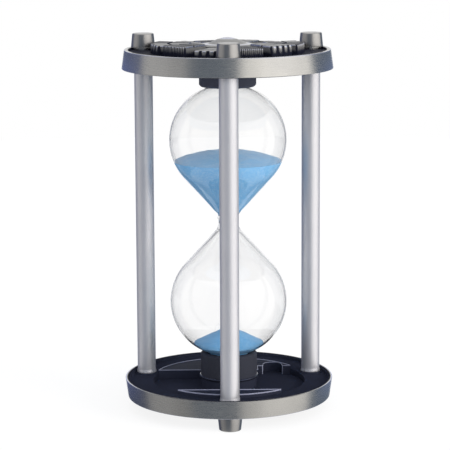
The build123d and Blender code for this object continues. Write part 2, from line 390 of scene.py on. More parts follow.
@dataclass(frozen=True)
class BrushedPewter:
    """Die-cast zinc, brushed and pewter plated, with dark patina left in the hollows.

    It gives a soft grey shine, broken by fine lines round the rim, and black ground between bright blocks.
    Its pale blue-white colour is a painted highlight, laid on edges and on the dome's crown.
    """

    metal: str = "#bdbcb8"
    dull: str = "#a4a4a4"
    patina: str = "#1d1f2c"
    # painted highlight: pale blue-white on edges, the dome's crown and the rim's left and right ends
    painted_highlight: str = "#c2c8e6"
    roughness: float = 0.27
    gloss_swing: Point = (-0.03, 0.05)
    patina_roughness: float = 0.25  # added under full patina
    full_patina: float = 0.55  # amount that covers the metal
    thin_patina: float = 0.75  # share of it left where the grain has worn it
    metal_under_patina: float = 0.05  # how metallic the darkest places still look
    line_mm: float = 0.45  # brush lines are about 0.1 mm apart, drawn coarser so that they show
    line_length_mm: float = 4.0
    line_depth_mm: float = 0.04
    rim_mm: float = 44.0
    blotch_mm: float = 14.0
    grain_mm: float = 0.5

    def round_axis(self, tree: bpy.types.NodeTree, place: bpy.types.NodeSocket) -> bpy.types.Node:
        """Add coordinates for brush lines that run round the object's axis.

        Args:
            tree: Node tree to add to.
            place: Coordinates in metres.

        Returns:
            Node with coordinates whose unit is one brush line.
        """
        parts = add_node(tree, "SeparateXYZ", {"Vector": place}).outputs
        flat = add_node(tree, "CombineXYZ", {"X": parts["X"], "Y": parts["Y"]})
        radius = add_node(tree, "VectorMath", {0: flat}, operation="LENGTH")
        angle = add_node(tree, "Math", {0: parts["Y"], 1: parts["X"]}, operation="ARCTAN2")
        across = per_metre(self.line_mm)
        along = {0: angle, 1: self.rim_mm / self.line_length_mm}
        marks = {
            "X": add_node(tree, "Math", along, operation="MULTIPLY"),
            "Y": add_node(tree, "Math", {0: radius, 1: across}, operation="MULTIPLY"),
            "Z": add_node(tree, "Math", {0: parts["Z"], 1: across}, operation="MULTIPLY"),
        }
        return add_node(tree, "CombineXYZ", marks)

    def material(self) -> bpy.types.Material:
        """Build the material.

        Returns:
            The new material.
        """
        material = bpy.data.materials.new("brushed_pewter")
        tree = empty_tree(material)
        place = add_node(tree, "TexCoord").outputs["Object"]
        marks = self.round_axis(tree, place)
        lines = add_node(tree, "TexNoise", {"Vector": marks, "Scale": 1.0, "Detail": 3.0})
        clouds = {"Vector": place, "Scale": per_metre(self.blotch_mm), "Detail": 3.0}
        blotches = add_node(tree, "TexNoise", clouds)
        fine = {"Vector": place, "Scale": per_metre(self.grain_mm), "Detail": 2.0}
        grain = add_node(tree, "TexNoise", fine)
        tones = {SHARE: blotches, FIRST: linear(self.metal), SECOND: linear(self.dull)}
        tone = add_node(tree, "Mix", tones, data_type="RGBA")

        # the patina attribute holds real patina, painted shade on the rim's lip and mouth, and painted
        # highlights below zero
        amount = add_node(tree, "Attribute", attribute_name="patina").outputs["Fac"]
        worn = add_node(tree, "MapRange", {"Value": grain, **NOISE_SPAN, "To Min": self.thin_patina})
        thick = add_node(tree, "Math", {0: amount, 1: worn}, operation="MULTIPLY")
        cover = add_node(tree, "MapRange", {"Value": thick, "From Max": self.full_patina})
        # below zero the amount blends in the painted highlight colour
        highlight_share = add_node(tree, "Math", {0: amount, 1: -1.0}, operation="MULTIPLY", use_clamp=True)
        with_highlight = {SHARE: highlight_share, FIRST: tone, SECOND: linear(self.painted_highlight)}
        bright = add_node(tree, "Mix", with_highlight, data_type="RGBA")
        darkened = {SHARE: cover, FIRST: bright, SECOND: linear(self.patina)}
        colour = add_node(tree, "Mix", darkened, data_type="RGBA")

        low, high = (self.roughness + swing for swing in self.gloss_swing)
        gloss = add_node(tree, "MapRange", {"Value": lines, **NOISE_SPAN, "To Min": low, "To Max": high})
        dry = add_node(tree, "MapRange", {"Value": cover, "To Max": self.patina_roughness})
        rough = add_node(tree, "Math", {0: gloss, 1: dry}, operation="ADD")
        bare = add_node(tree, "MapRange", {"Value": cover, "To Min": 1.0, "To Max": self.metal_under_patina})
        relief = {"Height": lines, "Strength": 0.12, "Distance": self.line_depth_mm * MM}
        body = {
            "Base Color": colour,
            "Metallic": bare,
            "Roughness": rough,
            "Specular IOR Level": 0.05,
            "Normal": add_node(tree, "Bump", relief),
        }
        add_node(tree, "OutputMaterial", {"Surface": add_node(tree, "BsdfPrincipled", body)})
        return material


@dataclass(frozen=True)
class GrainedSolid:
    """A plain solid in two close tones, clouded softly, with a fine grain that breaks its gloss."""

    name: str
    colour: str
    shade: str
    roughness: float
    grain_mm: float
    bump: float
    specular: float = 0.5
    glint: str = "#ffffff"
    metallic: float = 0.0
    cloud_mm: float = 16.0
    grain_detail: float = 4.0
    grain_scale: Place = (1.0, 1.0, 1.0)
    grain_depth_mm: float = 0.05
    gloss_swing: Point = (-0.06, 0.06)

    def material(self) -> bpy.types.Material:
        """Build the material.

        Returns:
            The new material.
        """
        material = bpy.data.materials.new(self.name)
        tree = empty_tree(material)
        place = add_node(tree, "TexCoord").outputs["Object"]
        drawn = add_node(tree, "Mapping", {"Vector": place, "Scale": self.grain_scale})
        fine = {"Vector": drawn, "Scale": per_metre(self.grain_mm), "Detail": self.grain_detail}
        grain = add_node(tree, "TexNoise", fine)
        soft = {"Vector": place, "Scale": per_metre(self.cloud_mm), "Detail": 2.0}
        cloud = add_node(tree, "TexNoise", soft)
        tones = {SHARE: cloud, FIRST: linear(self.colour), SECOND: linear(self.shade)}
        low, high = (min(self.roughness + swing, 1.0) for swing in self.gloss_swing)
        gloss = {"Value": grain, **NOISE_SPAN, "To Min": low, "To Max": high}
        relief = {"Height": grain, "Strength": self.bump, "Distance": self.grain_depth_mm * MM}
        body = {
            "Base Color": add_node(tree, "Mix", tones, data_type="RGBA"),
            "Metallic": self.metallic,
            "Roughness": add_node(tree, "MapRange", gloss),
            "Specular IOR Level": self.specular,
            "Specular Tint": linear(self.glint),
            "Normal": add_node(tree, "Bump", relief),
        }
        add_node(tree, "OutputMaterial", {"Surface": add_node(tree, "BsdfPrincipled", body)})
        return material


@dataclass(frozen=True)
class DullSolid(GrainedSolid):
    """A moulded or pressed non-metal: plastic, rubber or felt.

    It gives a plain dark or pale body with a little grain and no clear reflections.
    """


@dataclass(frozen=True)
class TurnedMetal(GrainedSolid):
    """A turned or drawn metal bar: plated steel or satin anodised aluminium.

    It gives clean bright and dark bands down the bar, softened by the roughness, with faint marks round it.
    """

    metallic: float = 1.0
    cloud_mm: float = 11.0
    grain_detail: float = 3.0
    grain_scale: Place = (0.25, 0.25, 1.0)
    grain_depth_mm: float = 0.03
    gloss_swing: Point = (-0.04, 0.05)


@dataclass(frozen=True)
class BlownGlass:
    """Clear blown soda-lime glass.

    It gives thin grey edges, faint ripples and an almost unseen wall; lamps light what is inside it.
    """

    tint: str = "#fefefe"
    lamp_tint: str = "#eef3f5"
    ior: float = 1.47
    ripple_mm: float = 14.0
    ripple_depth_mm: float = 0.1

    def material(self) -> bpy.types.Material:
        """Build the material.

        Returns:
            The new material.
        """
        material = bpy.data.materials.new("blown_glass")
        tree = empty_tree(material)
        place = add_node(tree, "TexCoord").outputs["Object"]
        waves = {"Vector": place, "Scale": per_metre(self.ripple_mm), "Detail": 1.0}
        ripple = add_node(tree, "TexNoise", waves)
        relief = {"Height": ripple, "Strength": 0.04, "Distance": self.ripple_depth_mm * MM}
        bump = add_node(tree, "Bump", relief)
        wall = {"Color": linear(self.tint), "Roughness": 0.0, "IOR": self.ior, "Normal": bump}
        glass = add_node(tree, "BsdfGlass", wall)
        clear = add_node(tree, "BsdfTransparent", {"Color": linear(self.lamp_tint)})
        path = add_node(tree, "LightPath").outputs
        lamp_rays = {0: path["Is Shadow Ray"], 1: path["Is Diffuse Ray"]}
        passing = add_node(tree, "Math", lamp_rays, operation="MAXIMUM")
        both = add_node(tree, "MixShader", {0: passing, 1: glass, 2: clear})
        add_node(tree, "OutputMaterial", {"Surface": both})
        return material


@dataclass(frozen=True)
class DyedSand:
    """Fine quartz sand, dyed light blue.

    It gives a dry matt blue, speckled grain by grain, a little paler where grains catch the light.
    """

    colour: str = "#84c2ee"
    deep: str = "#70b0e2"
    pale: str = "#b4d5f1"
    sheen: str = "#e6efff"
    pale_from: float = 0.4  # share of the grains that stay as deep as the rest
    pale_share: float = 0.45  # how pale the palest grains are
    grain_mm: float = 0.45  # grains are about 0.25 mm, drawn coarser so that they show
    grain_depth_mm: float = 0.12
    drift_mm: float = 7.0

    def material(self) -> bpy.types.Material:
        """Build the material.

        Returns:
            The new material.
        """
        material = bpy.data.materials.new("dyed_quartz_sand")
        tree = empty_tree(material)
        place = add_node(tree, "TexCoord").outputs["Object"]
        grains = add_node(tree, "TexVoronoi", {"Vector": place, "Scale": per_metre(self.grain_mm)})
        pick = add_node(tree, "SeparateColor", {"Color": grains.outputs["Color"]})
        soft = {"Vector": place, "Scale": per_metre(self.drift_mm), "Detail": 3.0}
        drift = add_node(tree, "TexNoise", soft)
        tones = {SHARE: drift, FIRST: linear(self.deep), SECOND: linear(self.colour)}
        tone = add_node(tree, "Mix", tones, data_type="RGBA")
        pale = {"Value": pick, "From Min": self.pale_from, "To Max": self.pale_share}
        paler_share = add_node(tree, "MapRange", pale)
        specks = {SHARE: paler_share, FIRST: tone, SECOND: linear(self.pale)}
        relief = {"Height": grains, "Strength": 0.35, "Distance": self.grain_depth_mm * MM}
        body = {
            "Base Color": add_node(tree, "Mix", specks, data_type="RGBA"),
            "Roughness": 0.9,
            "Specular IOR Level": 0.15,
            "Sheen Weight": 0.45,
            "Sheen Roughness": 0.5,
            "Sheen Tint": linear(self.sheen),
            "Normal": add_node(tree, "Bump", relief, invert=True),
        }
        add_node(tree, "OutputMaterial", {"Surface": add_node(tree, "BsdfPrincipled", body)})
        return material


class Finish(Enum):
    """Every finish on the hourglass.

    The numbers of a solid are its roughness, the size of its grain in millimetres and how strong its bump is.
    """

    PEWTER = BrushedPewter()
    # warm grey feet and studs, a little darker than the rims
    NICKEL = TurnedMetal("dark_nickel_plated_steel", "#a9a8a6", "#999898", 0.32, 0.4, 0.12)
    # pale cool pillars with one broad soft highlight
    ALUMINIUM = TurnedMetal("satin_anodised_aluminium", "#d6d6da", "#ceced3", 0.45, 0.5, 0.1, metallic=0.72)
    # dull silver with coarse marks, inside the pillars
    ROD_STEEL = TurnedMetal("zinc_plated_rod_steel", "#b9bcbf", "#9a9c9c", 0.3, 0.7, 0.5)
    # deep blue-black walls and floors, without a shine
    LINER = DullSolid("moulded_black_abs", "#292c39", "#313442", 0.5, 0.5, 0.1, specular=0.0)
    # the same plastic a little darker on its upward faces, a painted shade
    LINER_SHADED_TOP = DullSolid("moulded_black_abs_shaded_top", "#262a39", "#2c303f", 0.5, 0.5, 0.1, specular=0.01)
    # painted highlight: pale thin lines along its rounded edges, the beads and the bay's corners
    LINER_HIGHLIGHT = DullSolid("black_abs_edge_painted_highlight", "#7c7f95", "#9a9db2", 0.35, 0.5, 0.05, specular=0.3)
    # soft charcoal
    CUP = DullSolid("moulded_black_rubber", "#2f313a", "#383a44", 0.6, 0.4, 0.25, specular=0.12)
    # the same black rubber painted paler, as painted light from below on the upper cup
    UPPER_CUP_PAINTED_LIT = DullSolid("moulded_black_rubber_painted_lit", "#444858", "#4f525f", 0.6, 0.4, 0.25, specular=0.12)
    # black, with glints tinted blue by a painted reflection colour
    CUP_BEAD = DullSolid("polished_black_rubber_bead", "#1d1e26", "#262730", 0.16, 0.6, 0.05, glint="#b4c6ff")
    # dark matt nap
    FELT = DullSolid("pressed_wool_felt", "#2f3034", "#3a3b40", 0.95, 0.6, 0.9, specular=0.1)
    # milky satin
    PLUG = DullSolid("moulded_silicone_rubber", "#ded9cf", "#d2ccc0", 0.5, 0.7, 0.2, specular=0.4)
    GLASS = BlownGlass()
    SAND = DyedSand()


class Dresser:
    """Makes each material once and hands it out."""

    def __init__(self) -> None:
        """Start with no materials."""
        self.made: dict[Finish, bpy.types.Material] = {}

    def get(self, *finishes: Finish) -> list[bpy.types.Material]:
        """Give the materials for a piece's slots.

        Args:
            finishes: Finish of each slot, in order.

        Returns:
            Material of each slot.
        """
        for finish in finishes:
            if finish not in self.made:
                self.made[finish] = finish.value.material()
        return [self.made[finish] for finish in finishes]


def settle(piece: bpy.types.Object, slot: str, *nodes: str) -> None:
    """Let a piece ride on the frame in place of its CAD nodes.

    Args:
        piece: The new piece.
        slot: The record's material slot of the piece; not used.
        nodes: CAD nodes that it stands for.
    """
    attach(piece, BODY)
    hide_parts(*nodes)
    LOG.info("%s: %d faces, replaces %s", piece.name, len(piece.data.polygons), ", ".join(nodes))


def box_mm(node: str) -> tuple[Vector, Vector]:
    """Lowest and highest corner of a CAD node, in millimetres."""
    low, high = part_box(node)
    return Vector(low) / MM, Vector(high) / MM


def axis_of(node: str) -> Point:
    """Place of an upright CAD node's axis, in millimetres."""
    low, high = box_mm(node)
    return ((low.x + high.x) / 2, (low.y + high.y) / 2)


OVERALL_HEIGHT = CAD_BOX[1].z / MM
PILLARS = ("front", "left", "right")
ROLLED = {"front": "front", "left": "right", "right": "left"}  # where each pillar goes when rolled over


# ---------------------------------------------------------------- end caps


class BlockStyle(Enum):
    """How a relief block is cut: reeds on its outer wall, their depth, and the patina left on its top."""

    REEDED = (15, 0.32, 0.52)
    FLUTED = (4, 0.7, 0.3)


@dataclass(frozen=True)
class CapPatina:
    """Amounts of patina, painted shade and painted highlight on an end cap, from -1, a painted highlight, to
    1, dark.

    A pair is the amount on an edge away from the left and right ends, and how much a painted highlight takes
    off it towards those ends.
    """

    tip: float = 0.1
    hub: float = 0.2
    # painted highlight on the dome's crown and on the ring at its edge
    hub_highlight: float = -0.5
    ground: float = 0.95
    wall: float = 0.1
    step: float = 0.85
    # painted highlight along the top edges of the blocks
    top_edge_highlight: float = -0.8
    top_hollow: float = 0.8
    band: float = 0.75
    # painted highlight along the outer face's edge, stronger at the left and right
    low_edge_highlight: Point = (-0.3, 0.6)
    # painted shade along the mouth's edge, turning to a painted highlight at the left and right
    mouth_edge_shade_and_highlight: Point = (0.6, 1.5)
    # painted shade on the lip, a little lighter at the left and right
    lip: Point = (1.0, 0.4)
    inside: float = 1.0
    side_power: int = 4  # how closely the painted highlights keep to the left and right ends


@dataclass
class EndCap:
    """Round cast tray with a relief of fan blocks on its outer face.

    A wall or step of a block is a row of (distance, share of the block's height) pairs.
    """

    cap_radius: float = 45.0
    edge_radius: float = 43.9
    rim_foot_radius: float = 42.3
    foot_height: float = 5.8
    cap_height: float = 8.0
    lip_width: float = 1.1
    lip_depth: float = 0.1  # how far down the lip's patina reaches
    edge_band: float = 1.7
    recess: float = 1.15
    web: float = 1.6
    edge_round: float = 0.25
    edge_reach: float = 0.3  # how far the painted light on an outer edge reaches; the rim's rows are laid at it too
    edge_core: float = 0.8  # share of that reach within which it is full
    edge_fringe: float = 1.1  # share of that reach at which it ends on the outer wall
    rim_wall: float = 0.8  # less than the rim's thickness, to tell its inside from its outside
    ground_radii: tuple[float, ...] = (34.0, 36.5, 39.5)
    ground_edge: float = 40.5
    inner_ring: float = 20.0
    boss_radius: float = 5.2
    boss_rise: float = 0.6
    block_inner: float = 16.9
    block_outer: float = 32.7
    block_gap: float = 7.0  # degrees
    block_heights: tuple[float, ...] = (2.3, 1.3, 1.1, 1.3, 1.1, 2.3, 2.9, 3.3, 2.7, 1.9, 3.3, 2.7)
    wall_share: float = 0.8  # share of a block's height up to which its walls reach
    step_share: float = 0.88  # share at the floor of the step across its top
    inner_wall: tuple[Point, ...] = ((0.0, 0.0), (0.03, 0.8), (0.05, 0.92), (0.35, 1.0))
    top_step: tuple[Point, ...] = ((-0.3, 1.0), (0.0, 0.88), (0.8, 0.88), (1.1, 1.0))
    outer_wall: tuple[Point, ...] = ((-1.6, 1.0), (-0.35, 1.0), (-0.05, 0.92), (-0.03, 0.8), (0.0, 0.0))
    side_wall: tuple[Point, ...] = ((0.0, 0.0), (0.09, 0.8), (0.12, 0.92))  # distances in degrees
    side_margin: float = 0.7  # degrees from a block's side to the even columns on its top
    top_steps: int = 62
    gap_parts: tuple[float, ...] = (0.25, 0.5, 0.75)
    reed_band: float = 0.4  # outer part of a block that its reeds cut into
    hub_radius: float = 12.5
    hub_height: float = 2.2
    hub_shoulder: tuple[Point, ...] = ((-1.6, 0.0), (-1.3, 0.3), (-0.9, 0.3), (-0.2, 0.3), (-0.03, 0.5))
    hub_fillet: float = 0.15
    dome_radius: float = 9.0
    dome_height: float = 5.0
    dome_crown: float = 3.5  # radius of the crown that has a painted highlight
    dome_rings: int = 9
    dome_power: float = 1.15
    patina: CapPatina = CapPatina()

    def columns(self) -> list[tuple[float, float, int, float]]:
        """Lay out the angles of the grid.

        Returns:
            For each column: degrees, share of the block's height, block number, and place along the block.
        """
        pitch = 360.0 / len(self.block_heights)
        sweep = pitch - self.block_gap
        even = sweep - 2 * self.side_margin
        top = [(self.side_margin + even * i / self.top_steps, 1.0) for i in range(self.top_steps + 1)]
        far_side = [(sweep - offset, share) for offset, share in reversed(self.side_wall)]
        found = []
        for block in range(len(self.block_heights)):
            start = block * pitch + self.block_gap / 2
            for offset, share in (*self.side_wall, *top, *far_side):
                found.append((start + offset, share, block, offset / sweep))
            found += [(start + sweep + self.block_gap * part, 0.0, block, 1.0) for part in self.gap_parts]
        return found

    def face_rows(self) -> list[Place]:
        """Lay out the rings of the outer face.

        Returns:
            For each ring: radius, height of the ground above the rim's edge (negative outwards), and share of
            the block's height.
        """
        rows = []
        for index in range(1, self.dome_rings + 1):
            fall = math.cos(math.pi / 2 * index / self.dome_rings) ** self.dome_power
            height = -self.hub_height - (self.dome_height - self.hub_height) * fall
            rows.append((self.dome_radius * index / self.dome_rings, height, 0.0))
        hub, recess = self.hub_radius, self.recess
        rows += [(hub + out, -self.hub_height + back, 0.0) for out, back in self.hub_shoulder]
        rows += [(hub, recess - self.hub_fillet, 0.0), (hub + self.hub_fillet, recess, 0.0)]
        middle = (self.block_inner + self.block_outer) / 2
        rows += [(self.block_inner + out, recess, share) for out, share in self.inner_wall]
        rows += [(middle + out, recess, share) for out, share in self.top_step]
        rows += [(self.block_outer + out, recess, share) for out, share in self.outer_wall]
        return rows + [(radius, recess, 0.0) for radius in self.ground_radii]

    def rim_rows(self) -> list[Point]:
        """Lay out the rings of the rim, from the recessed face to the middle of the inner face.

        Returns:
            (radius, height) of each ring.
        """
        low, top = self.foot_height, self.foot_height + self.cap_height
        inner_face = low + self.recess + self.web
        band = self.edge_radius - self.edge_band
        reach = self.edge_reach
        lean = (self.cap_radius - self.edge_radius) / self.cap_height * reach
        corners = [
            (self.ground_edge, low + self.recess, 0.0),
            (band, low + self.recess, 0.2),
            (band, low, self.edge_round),
            (self.edge_radius - reach, low, 0.0),
            (self.edge_radius, low, self.edge_round),
            (self.edge_radius + lean, low + reach, 0.0),
            (self.cap_radius - lean, top - reach, 0.0),
            (self.cap_radius, top, self.edge_round),
            (self.cap_radius - reach, top, 0.0),
            (self.cap_radius - self.lip_width, top, self.edge_round),
            (self.rim_foot_radius, inner_face, 0.3),
            (self.inner_ring, inner_face, 0.0),
        ]
        return rounded(corners, closed=False)

    def shell(self) -> Shell:
        """Build the bottom cap, from the tip of the dome outwards, round the rim and back to the axis.

        Returns:
            The mesh.
        """
        shell = Shell()
        low = self.foot_height
        columns = self.columns()
        styles = (BlockStyle.REEDED, BlockStyle.FLUTED)
        rings = [shell.add_points([(0.0, 0.0, low - self.dome_height)])]
        shell.patina.append(self.patina.tip)
        for radius, ground, share in self.face_rows():
            on_wall = self.block_outer - self.reed_band < radius <= self.block_outer
            points = []
            for degrees, weight, block, along in columns:
                style = styles[block % len(styles)]
                reeds, depth, _ = style.value
                lift = min(share, weight)
                height = ground - lift * (ground + self.block_heights[block])
                cut = on_wall and weight > 0
                groove = (0.5 + 0.5 * math.cos(2 * math.pi * reeds * along)) ** 2 if cut else 0.0
                reach, angle = radius - depth * groove, math.radians(degrees)
                points.append((reach * math.cos(angle), reach * math.sin(angle), low + height))
                shell.patina.append(self.face_patina_and_light(radius, height, lift, groove, style))
            rings.append(shell.add_points(points))
        turns = [math.radians(column[0]) for column in columns]
        for radius, height in self.rim_rows():
            circle = [(radius * math.cos(t), radius * math.sin(t), height) for t in turns]
            rings.append(shell.add_points(circle))
            shell.patina += [self.rim_patina_and_light(radius, height, t) for t in turns]
        rings.append(shell.add_points([(0.0, 0.0, low + self.recess + self.web)]))
        for lower, upper in zip(rings, rings[1:]):
            shell.join_rings(lower, upper)

        top = low + self.recess + self.boss_rise
        boss = [(0.0, low, 0.0), (self.boss_radius, low, 0.12), (self.boss_radius, top, 0.0), (0.0, top, 0.0)]
        outline = rounded(boss, closed=False)
        for name in PILLARS:
            shell.add_turned(outline, closed=False, segments=72, centre=axis_of(f"bottom_{name}_foot"))
        return shell

    def rim_patina_and_light(self, radius: float, height: float, turn: float) -> float:
        """Patina, painted shade and painted highlight at a point of the rim: dark inside the band and on the
        inside, painted shade on the lip and the mouth's edge, painted highlights on its edges towards the
        left and right.

        Args:
            radius: Distance from the middle.
            height: Height above the table.
            turn: Angle round the axis, in radians.

        Returns:
            Amount of patina.
        """
        patina_and_light = self.patina
        at_sides = abs(math.cos(turn)) ** patina_and_light.side_power
        low, top = self.foot_height, self.foot_height + self.cap_height
        hair = 0.01  # allowance for rounding
        if radius < self.edge_radius - self.edge_band + hair and height < low + self.recess + self.web / 2:
            return patina_and_light.band
        if math.dist((self.edge_radius, low), (radius, height)) < self.edge_core * self.edge_reach:
            return patina_and_light.low_edge_highlight[0] - patina_and_light.low_edge_highlight[1] * at_sides
        from_mouth = math.dist((self.cap_radius, top), (radius, height)) / self.edge_reach
        if from_mouth < self.edge_fringe:
            edge = patina_and_light.mouth_edge_shade_and_highlight[0] - patina_and_light.mouth_edge_shade_and_highlight[1] * at_sides
            return edge if from_mouth < self.edge_core or height > top - hair else min(edge, 0.0)
        outside = self.edge_radius + (self.cap_radius - self.edge_radius) * (height - low) / self.cap_height
        if radius < outside - self.rim_wall and height > low + self.recess + self.web - hair:
            return patina_and_light.inside
        return patina_and_light.lip[0] - patina_and_light.lip[1] * at_sides if height > top - self.lip_depth else 0.0

    def face_patina_and_light(self, radius: float, height: float, lift: float, groove: float, style: BlockStyle) -> float:
        """Patina and painted highlight at a point of the outer face.

        Args:
            radius: Distance from the middle.
            height: Height above the rim's edge, negative outwards.
            lift: Share of the block's height.
            groove: Depth in a groove of the block's wall, 0 to 1.
            style: Cut of the block, whose top has less patina where it is fluted.

        Returns:
            Amount of patina.
        """
        patina_and_light = self.patina
        if radius < self.hub_radius:
            painted_highlight = radius < self.dome_crown or math.isclose(radius, self.dome_radius, abs_tol=0.1)
            return patina_and_light.hub_highlight if painted_highlight else patina_and_light.hub
        if lift <= self.wall_share:
            return patina_and_light.ground if height > 0 else patina_and_light.wall + (1 - patina_and_light.wall) * groove
        _, _, top = style.value
        if lift <= self.step_share:
            top = patina_and_light.step
        elif lift < 1.0 and groove < 0.5:
            top = patina_and_light.top_edge_highlight
        return patina_and_light.top_hollow * groove + top * (1 - groove)

    def build(self, dresser: Dresser) -> None:
        """Make both caps and dress them.

        Args:
            dresser: Gives the materials.
        """
        bottom = self.shell()
        for name, shell in (("bottom_cap", bottom), ("top_cap", bottom.turned_over(OVERALL_HEIGHT))):
            piece = shell.to_object(f"{name}_casting", dresser.get(Finish.PEWTER), crease=28.0)
            settle(piece, "cast_pewter", name)


# ---------------------------------------------------------------- liners


class LinerSlot(IntEnum):
    """Material slot of each kind of face on a liner."""

    WALL = 0
    # pale lines of painted highlight
    PAINTED_HIGHLIGHT = 1
    # a darker copy of the plastic for the platform's upward faces, painted shade
    SHADED_TOP = 2


@dataclass
class Liner:
    """Black moulded lining of a cap: an edge, a deck, a platform with a pocket, and a boss for the cup."""

    foot_radius: float = 42.15
    mouth_radius: float = 43.75
    edge_width: float = 0.7
    draft: float = 0.25  # how much the wall leans out over the floor's thickness
    overlap: float = 0.2  # how far the parts of the moulding run into each other
    deck_level: float = 12.0
    platform_level: float = 13.5
    platform_radius: float = 32.9
    seat_radius: float = 5.2
    seat_level: float = 12.4
    bottom_level: float = 8.55
    pocket_level: float = 9.35
    pocket_front: float = 24.5
    pocket_back: float = 11.2
    pocket_back_right: float = 18.0
    pocket_step: float = 13.0
    step_round: float = 0.3
    bay_position: float = 19.6
    bay_radius: float = 4.1
    bay_depth: float = 2.6
    bay_corner: float = 1.0
    boss_radius: float = 12.0
    edge_line: float = 0.22  # rounded edges of the platform, which carry a painted highlight
    bead_radius: float = 0.24  # raised bead along the round edges of the platform
    bead_sunk: float = 15.0  # degrees of its section below the platform's top on each side
    bead_step: float = 35.0
    level_normal: float = 0.97  # a face whose normal points up more than this is level
    upright_normal: float = 0.2  # a face whose normal points up less than this is upright
    diagonal_slack: float = 0.3  # how uneven the two level parts of a diagonal face's normal may be

    def __post_init__(self) -> None:
        """Work out where the pocket cuts the platform's round edge and the bay cuts its back."""
        radius = self.platform_radius
        half = math.degrees(math.acos(self.pocket_front / radius))
        right = math.degrees(math.asin(self.pocket_back_right / radius))
        left = 180 - math.degrees(math.asin(self.pocket_back / radius))
        self.front_span, self.back_span = (-90 - half, -90 + half), (right, left)
        self.bay_walls = (self.bay_position - self.bay_radius, self.bay_position + self.bay_radius)

    def front_platform(self) -> list[Point]:
        """Plan of the platform in front of the pocket: a segment of the circle."""
        return arc((0.0, 0.0), self.platform_radius, *self.front_span)

    def back_platform(self) -> list[Point]:
        """Plan of the platform behind the pocket, with the step and the bay.

        Returns:
            Points of the outline, anticlockwise.
        """
        left_wall, right_wall = self.bay_walls
        back = self.pocket_back_right
        bay_top = back + self.bay_depth
        step = [(self.pocket_step, y, self.step_round) for y in (self.pocket_back, back)]
        path = arc((0.0, 0.0), self.platform_radius, *self.back_span)
        into = [(*path[-1], 0.0), *step, (left_wall, back, self.bay_corner), (left_wall, bay_top, 0.0)]
        path += rounded(into, closed=False)[1:]
        path += arc((self.bay_position, bay_top), self.bay_radius, 180, 0, 9)[1:]
        out = [(right_wall, bay_top, 0.0), (right_wall, back, self.bay_corner), (*path[0], 0.0)]
        return path + rounded(out, closed=False)[1:-1]

    def plate_slot(self, polygon: bpy.types.MeshPolygon) -> LinerSlot:
        """Slot of a platform face: a darker copy for its top, which is painted shade, and a painted highlight
        along its edges and at the bay's corners.

        Args:
            polygon: Face of the platform, in millimetres.

        Returns:
            Its slot.
        """
        x, y, z = polygon.center
        across, along, up = polygon.normal
        if z > self.platform_level - self.edge_line and self.upright_normal < up < self.level_normal:
            return LinerSlot.PAINTED_HIGHLIGHT
        if up > self.level_normal and z > self.deck_level:
            return LinerSlot.SHADED_TOP
        near_back = abs(y - self.pocket_back_right) < self.bay_corner
        at_corner = near_back and any(abs(x - wall) < self.bay_corner for wall in self.bay_walls)
        diagonal = abs(abs(across) - abs(along)) < self.diagonal_slack and abs(up) < self.upright_normal
        return LinerSlot.PAINTED_HIGHLIGHT if at_corner and diagonal else LinerSlot.WALL

    def add_bead(self, shell: Shell, path: list[Point]) -> None:
        """Add a half-round bead, sunk a little into the platform's top.

        Args:
            shell: Mesh to add to.
            path: Line of the bead in plan.
        """
        section = arc((0.0, 0.0), self.bead_radius, -self.bead_sunk, 180 + self.bead_sunk, self.bead_step)
        rings = []
        for index, (x, y) in enumerate(path):
            behind, ahead = path[max(index - 1, 0)], path[min(index + 1, len(path) - 1)]
            way = Vector((ahead[0] - behind[0], ahead[1] - behind[1])).normalized()
            points = [(x + way.y * out, y - way.x * out, self.platform_level + up) for out, up in section]
            rings.append(shell.add_points(points))
        # the bead's faces carry the painted highlight
        for before, here in zip(rings, rings[1:]):
            shell.join_rings(here, before, LinerSlot.PAINTED_HIGHLIGHT)
        shell.faces += [tuple(rings[0]), tuple(reversed(rings[-1]))]
        shell.slots += [LinerSlot.PAINTED_HIGHLIGHT, LinerSlot.PAINTED_HIGHLIGHT]

    def shell(self) -> Shell:
        """Build the bottom liner.

        Returns:
            The mesh.
        """
        shell = Shell()
        floor, top, deck = self.pocket_level, self.platform_level, self.deck_level
        foot = self.foot_radius
        base = [(0.0, self.bottom_level), (foot, self.bottom_level), (foot + self.draft, floor), (0.0, floor)]
        shell.add_turned(base, closed=False)
        edge = self.mouth_radius - self.edge_width
        wall = [
            (self.platform_radius, floor - self.overlap, 0.0),
            (foot + self.overlap, floor - self.overlap, 0.0),
            (self.mouth_radius, top, 0.15),
            (edge, top, 0.2),
            (edge, deck, 0.4),
            (self.platform_radius, deck, 0.2),
        ]
        shell.add_turned(rounded(wall), segments=256)
        sunk = floor - self.overlap / 2
        for outline in (self.front_platform(), self.back_platform()):
            slab = plate(outline, sunk, top, self.edge_line)
            shell.add_mesh(slab, self.plate_slot)
            bpy.data.meshes.remove(slab)
        middle = self.platform_radius - self.bead_radius
        bow = arc((0.0, 0.0), middle, *self.front_span)
        for path in (bow, [bow[0], bow[-1]], arc((0.0, 0.0), middle, *self.back_span)):
            self.add_bead(shell, path)
        seat = (self.seat_radius, deck - 2 * self.overlap, self.seat_level)
        stands = [((0.0, 0.0), self.boss_radius, sunk, top)]
        stands += [(axis_of(f"{name}_pillar"), *seat) for name in PILLARS]
        for centre, radius, low, high in stands:
            outline = [(0.0, low, 0.0), (radius, low, 0.0), (radius, high, 0.15), (0.0, high, 0.0)]
            shell.add_turned(rounded(outline, closed=False), closed=False, centre=centre)
        return shell

